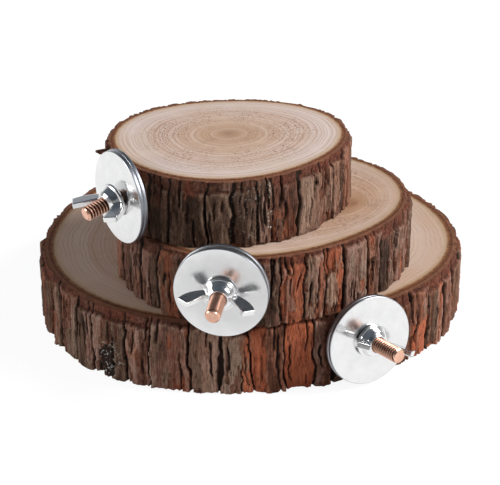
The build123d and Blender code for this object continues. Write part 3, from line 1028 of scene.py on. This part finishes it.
def bark_material(piece):
    """Flaking bark: grey-brown strips, red-brown under them, rust-red patches, dark furrows, and painted
    light and shade on the relief.
    """
    s = SliceShader(piece, "bark_surface", Roughness=0.9, Specular_IOR_Level=0.2)
    shade = piece.shade
    high = s.mask("high")
    fine = s.streaks(1.5, 0.17, 4.0, 0.65)
    hair = s.streaks(4.2, 0.5, 2.0, 0.6)
    mottle = s.noise(s.vector(s.dx, s.dy, s.product(s.z, 0.55)), 0.38, 4.0, 0.65)
    grit = s.noise(s.flat, 1.6, 3.0, 0.7)
    blotch = s.centred(s.noise(s.flat, 0.16, 3.0, 0.6))

    # Strips in three kinds of brown, and the layers under them
    lightness = s.product(s.mask("tone"), 0.8)
    # The high mask adds painted light on raised bark and painted shade in hollows to the lightness.
    for value, strength in ((mottle, 0.8), (fine, 0.6), (high, 0.7), (grit, 0.35)):
        lightness = s.total(lightness, s.product(s.centred(value), strength))
    lightness = s.total(lightness, s.product(blotch, 0.5))
    mauve, olive, brown = (
        s.ramp(lightness, *stops, shade=shade) for stops in (MAUVE_STOPS, OLIVE_STOPS, BROWN_STOPS))
    hue = s.total(s.mask("hue"), s.product(blotch, 0.6))
    strips = s.mix(s.step(hue, 0.24, 0.38, 0.85, 0.0), mauve, olive)
    strips = s.mix(s.step(hue, 0.5, 0.7, 0.0, 0.92), strips, brown)
    # Unevenness takes in a little of the high mask's painted light and shade.
    unevenness = s.total(s.product(mottle, 0.5), s.product(fine, 0.4), s.product(high, 0.2))
    under, rust = (s.ramp(unevenness, *stops, shade=shade) for stops in (UNDER_STOPS, RUST_STOPS))
    tan = s.ramp(fine, *TAN_STOPS)
    rim = s.ramp(s.total(s.product(grit, 0.7), s.product(mottle, 0.3)), *TORN_STOPS)
    s.colour = strips
    s.coat(s.product(s.mask("flake"), s.step(mottle, 0.32, 0.55, 0.35, 0.9)), under)
    s.coat(s.product(s.mask("red"), s.step(fine, 0.3, 0.45, 0.6, 1.0)), rust)
    s.coat(s.product(s.mask("tan"), s.step(fine, 0.3, 0.5, 0.3, 0.95)), tan)
    s.coat(s.product(s.mask("torn"), 0.9), rim)

    # Thin cracks with painted shade, fibres, painted shade in hollows, dark furrows with painted shade, and
    # lichen
    ridge = s.math("ABSOLUTE", s.centred(s.streaks(0.9, 0.11)))
    crack = s.product(s.step(ridge, 0.0, 0.022, 1.0, 0.0), s.step(mottle, 0.4, 0.55))
    # Painted shade inside the thin cracks.
    s.coat(s.product(crack, 0.8), CRACK_PAINTED_SHADE)
    s.coat(s.step(hair, 0.34, 0.5, 0.5, 0.0), DARK_FIBRE)
    s.coat(s.step(hair, 0.6, 0.78, 0.0, 0.25), PALE_FIBRE)
    # Painted shade in the hollows.
    s.coat(s.step(high, 0.08, 0.42, 0.75, 0.0), HOLLOW_PAINTED_SHADE)
    # Furrows: darker bark deepened with painted shade; splits and knot holes: painted shade.
    s.coat(s.step(s.mask("furrow"), 0.12, 0.7, 0.0, 0.95), FURROW_BARK_AND_SHADE)
    specks = s.product(s.mask("lichen"), s.step(s.noise(s.flat, 1.1), 0.58, 0.68))
    s.coat(specks, LICHEN_PALE)

    # The sawn top and bottom of the ring show the bark's layers
    layers = s.total(s.product(s.depth, 0.55 / piece.bark), s.product(grit, 0.5))
    s.coat(s.mask("sawn"), s.ramp(layers, *SAWN_STOPS))
    s.bump(s.total(fine, s.product(hair, 0.6), s.product(grit, 0.3), s.product(crack, -0.8)), 0.4, 0.9)
    return s.finish()


def zinc_material(name, roughness, polish):
    """Bright zinc plate with faint clouds and small scuffs, duller on sheared edges, which also get a painted
    dark reflection.
    """
    s = Shader(name, Metallic=1.0)
    flat = s.vector(*s.place())
    clouds = s.noise(flat, 0.22, 3.0, 0.6)
    grain = s.noise(flat, 1.8, 3.0, 0.6)
    edge = s.mask("edge")
    shine = s.step(grain, 0.25, 0.8, roughness - 0.05, roughness + 0.08)
    s.feed(s.surface.inputs["Roughness"], s.total(shine, s.product(edge, 0.2)))
    s.bump(s.total(s.product(clouds, polish), s.product(grain, 0.12)), 0.12, 0.25)
    s.colour = s.ramp(clouds, *ZINC_STOPS)
    # Painted dark reflection on the washers' rims.
    s.coat(s.product(edge, 0.85), PAINTED_RIM_REFLECTION)
    return s.finish()


def copper_material():
    """Copper-coloured plate, dull in the roots of the thread, with painted shade that is darkest there."""
    s = Shader("copper_plate", Metallic=1.0)
    flat = s.vector(*s.place())
    clouds = s.noise(flat, 0.5, 3.0, 0.6)
    grain = s.noise(flat, 3.0, 2.0, 0.6)
    root = s.step(s.mask("root"), 0.0, 0.8)
    shine = s.step(grain, 0.25, 0.8, 0.22, 0.38)
    s.feed(s.surface.inputs["Roughness"], s.total(shine, s.product(root, 0.3)))
    s.bump(grain, 0.05, 0.3)
    s.colour = s.ramp(clouds, *COPPER_STOPS)
    # Painted shade in the thread roots and over the shank.
    s.coat(s.product(root, 0.95), ROOT_PAINTED_SHADE)
    return s.finish()


def dress(piece, material, body, slot, *nodes):
    """Gives a new piece its material and body, and hides the solids it stands for. The slot is not used."""
    piece.data.materials.clear()
    piece.data.materials.append(material)
    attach(piece, body)
    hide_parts(*nodes)


def finish_node(node, material):
    for slot in frame["nodes"][node].material_slots:
        slot.material = material


washer_zinc = zinc_material("zinc_washer_plate", roughness=0.2, polish=0.35)
nut_zinc = zinc_material("zinc_nut_plate", roughness=0.18, polish=0.4)
copper = copper_material()
for piece in SLICES:
    name = piece.name
    finish_node(f"{name}_wood", wood_material(piece))
    finish_node(f"{name}_inner_bark", inner_bark_material(piece))
    dress(make_bark(piece), bark_material(piece), f"{name}_perch", "outer_bark", f"{name}_outer_bark")
    dress(make_bolt(piece), copper, f"{name}_perch", "copper_bolt", f"{name}_hanger_bolt")
    for which in ("inner_washer", "outer_washer"):
        dress(make_washer(piece, which), washer_zinc, f"{name}_{which}", "zinc_washer", f"{name}_{which}")
    dress(make_nut(piece), nut_zinc, f"{name}_wing_nut", "zinc_nut", f"{name}_wing_nut")


# Stage: pale floor, world, lights and camera
CAMERA_TARGET = (0.78, 3.8, 19.27)
CAMERA_ELEVATION = 24.71
CAMERA_DISTANCE = 600.0
CAMERA_LENS = 121.165
SENSOR_WIDTH = 36.0
LIGHT_AIM = (0, -15, 35)
FLOOR_HALF_SIZE_M = 2.0
FLOOR_LEVEL_M = -0.0002
FLOOR_GREY = (0.74, 0.74, 0.74, 1)
FLOOR_GLOW = 1.12
FLOOR_GLOW_SHARE = 0.82
DIM_MIDDLE_M = (-0.02, -0.19, 0)
DIM_RADIUS_M = 0.12
DIM_SHARE = 0.68
SKY_STOPS = (
    (0.0, (0.95, 0.95, 0.96)), (0.30, (0.79, 0.80, 0.82)),
    (0.48, (0.12, 0.14, 0.17)), (1.0, (0.085, 0.10, 0.125)),
)
FRONT_DIMMING = (-0.95, -0.2, 0.3, 1.0)
SIDE_DIMMING = (0.5, 0.95, 1.0, 0.4)
WHITE = (1, 1, 1)


def floor_material():
    """White that the camera and the metal see a little brighter than it is lit, clear from below."""
    s = Shader("floor_white", Base_Color=FLOOR_GREY, Roughness=0.9, Specular_IOR_Level=0.1)
    rays = s.add("LightPath").outputs
    around = s.add("VectorMath", operation="DISTANCE")
    s.fed(around, s.add("TexCoord").outputs["Object"], DIM_MIDDLE_M)
    dim = s.step(around.outputs["Value"], DIM_RADIUS_M / 3, DIM_RADIUS_M, DIM_SHARE, 1.0)
    camera = rays["Is Camera Ray"]
    glow = s.fed(s.add("Emission"), s.math("MAXIMUM", camera, dim), FLOOR_GLOW)
    shiny = s.math("MAXIMUM", rays["Is Glossy Ray"], rays["Is Transmission Ray"])
    share = s.product(s.math("MAXIMUM", camera, shiny), FLOOR_GLOW_SHARE)
    above = s.fed(s.add("MixShader"), share, s.surface.outputs[0], glow)
    clear = s.add("BsdfTransparent").outputs[0]
    both = s.fed(s.add("MixShader"), s.add("NewGeometry").outputs["Backfacing"], above, clear)
    s.feed(s.tree.nodes["Material Output"].inputs[0], both)
    return s.material


def make_floor():
    mesh = bpy.data.meshes.new("floor")
    corners = ((-1, -1), (1, -1), (1, 1), (-1, 1))
    points = [(x * FLOOR_HALF_SIZE_M, y * FLOOR_HALF_SIZE_M, FLOOR_LEVEL_M) for x, y in corners]
    mesh.from_pydata(points, [], [(0, 1, 2, 3)])
    mesh.materials.append(floor_material())
    floor = add_object("floor", mesh)


def make_world():
    """White for the camera; for the light, a bright horizon under a dark ceiling, dimmed in places."""
    world = bpy.data.worlds.new("studio")
    bpy.context.scene.world = world
    world.use_nodes = True
    s = Nodes(world.node_tree)
    x, y, z = s.parts(s.add("TexCoord").outputs["Generated"])
    camera = s.add("LightPath").outputs["Is Camera Ray"]
    level = s.product(s.step(y, *FRONT_DIMMING), s.step(s.math("ABSOLUTE", x), *SIDE_DIMMING))
    background = s.tree.nodes["Background"]
    s.feed(background.inputs["Color"], s.mix(camera, s.ramp(z, *SKY_STOPS), WHITE))
    s.feed(background.inputs["Strength"], s.math("MAXIMUM", level, camera))


def make_light(name, bearing, elevation, distance, width, height, power):
    """Soft box aimed at the stack, placed by its bearing from the front and its elevation."""
    light = bpy.data.lights.new(name, "AREA")
    light.shape = "RECTANGLE"
    light.size, light.size_y = width, height
    light.energy = power
    lamp = add_object(name, light)
    b, e = radians(bearing), radians(elevation)
    away = Vector((sin(b) * cos(e), -cos(b) * cos(e), sin(e)))
    lamp.location = Vector(LIGHT_AIM) * MM + away * distance
    lamp.rotation_euler = away.to_track_quat("Z", "Y").to_euler()


def make_camera():
    data = bpy.data.cameras.new("camera")
    data.lens = CAMERA_LENS
    data.sensor_width = SENSOR_WIDTH
    data.sensor_fit = "HORIZONTAL"
    camera = add_object("camera", data)
    e = radians(CAMERA_ELEVATION)
    away = Vector((0, -cos(e), sin(e)))
    camera.location = (Vector(CAMERA_TARGET) + away * CAMERA_DISTANCE) * MM
    camera.rotation_euler = away.to_track_quat("Z", "Y").to_euler()
    bpy.context.scene.camera = camera


make_floor()
make_world()
make_light("key", bearing=80, elevation=37, distance=1.2, width=0.5, height=0.5, power=21)
make_light("fill", bearing=-78, elevation=20, distance=1.2, width=0.6, height=0.4, power=7)
make_camera()
bpy.context.scene.view_settings.view_transform = "Standard"
